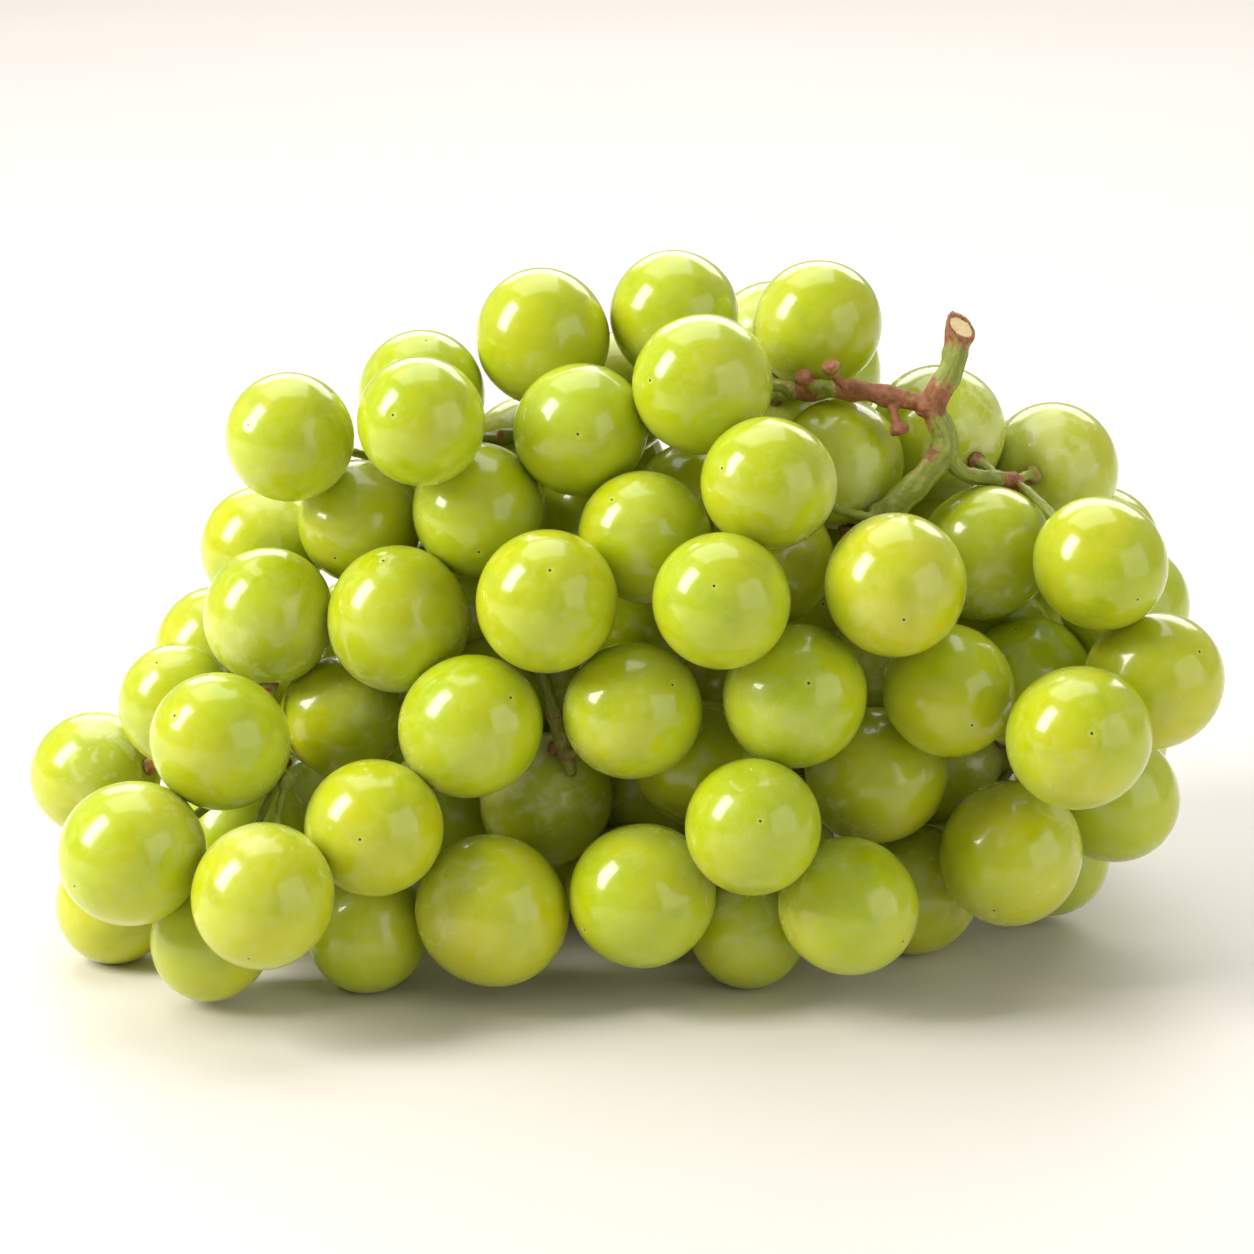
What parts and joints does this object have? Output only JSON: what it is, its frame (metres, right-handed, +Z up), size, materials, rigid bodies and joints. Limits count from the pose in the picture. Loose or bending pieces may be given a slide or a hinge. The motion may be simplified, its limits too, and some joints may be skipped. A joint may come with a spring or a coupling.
{
  "type": "bunch of grapes",
  "caption": "Bunch of large green table grapes lying on its side, with round glossy berries packed round a branching green and brown stalk that ends in a cut stem.",
  "frame": {"origin": "middle of the bounding box's bottom face, on the surface that the bunch lies on", "axes": "+X along the bunch from its tip to its stalk end, +Y to its far side, +Z up"},
  "size_m": [0.2224, 0.1416, 0.1286],
  "materials": {
    "berry_skin": "satin skin with a thin waxy bloom",
    "stem_wood": "matt green stalk with brown woody nodes"
  },
  "bodies": {
    "root": {"berries_back_left": "berry_skin", "berries_back_right": "berry_skin", "berries_base": "berry_skin", "berries_inner_left": "berry_skin", "berries_inner_right": "berry_skin", "berries_inner_upper": "berry_skin", "berry_front_left_1": "berry_skin", "berry_front_left_2": "berry_skin", "berry_front_left_3": "berry_skin", "berry_front_middle_1": "berry_skin", "berry_front_middle_2": "berry_skin", "berry_front_middle_3": "berry_skin", "berry_front_middle_4": "berry_skin", "berry_front_middle_5": "berry_skin", "berry_front_right_1": "berry_skin", "berry_front_right_2": "berry_skin", "berry_front_right_3": "berry_skin", "berry_front_right_4": "berry_skin", "berry_front_right_5": "berry_skin", "berry_left_1": "berry_skin", "berry_left_2": "berry_skin", "berry_left_3": "berry_skin", "berry_left_4": "berry_skin", "berry_low_left_1": "berry_skin", "berry_low_left_2": "berry_skin", "berry_low_left_3": "berry_skin", "berry_low_middle_1": "berry_skin", "berry_low_middle_2": "berry_skin", "berry_low_middle_3": "berry_skin", "berry_low_right_1": "berry_skin", "berry_low_right_2": "berry_skin", "berry_low_right_3": "berry_skin", "berry_low_right_4": "berry_skin", "berry_right_1": "berry_skin", "berry_right_2": "berry_skin", "berry_right_3": "berry_skin", "berry_right_4": "berry_skin", "berry_right_5": "berry_skin", "berry_right_6": "berry_skin", "berry_tip_1": "berry_skin", "berry_tip_2": "berry_skin", "berry_tip_3": "berry_skin", "berry_tip_4": "berry_skin", "berry_tip_5": "berry_skin", "berry_top_1": "berry_skin", "berry_top_2": "berry_skin", "berry_top_3": "berry_skin", "berry_top_4": "berry_skin", "berry_top_5": "berry_skin", "berry_upper_left_1": "berry_skin", "berry_upper_left_2": "berry_skin", "berry_upper_left_3": "berry_skin", "berry_upper_left_4": "berry_skin", "berry_upper_left_5": "berry_skin", "berry_upper_left_6": "berry_skin", "berry_upper_right_1": "berry_skin", "berry_upper_right_2": "berry_skin", "berry_upper_right_3": "berry_skin", "berry_upper_right_4": "berry_skin", "rachis": "stem_wood"}
  },
  "joints": []
}
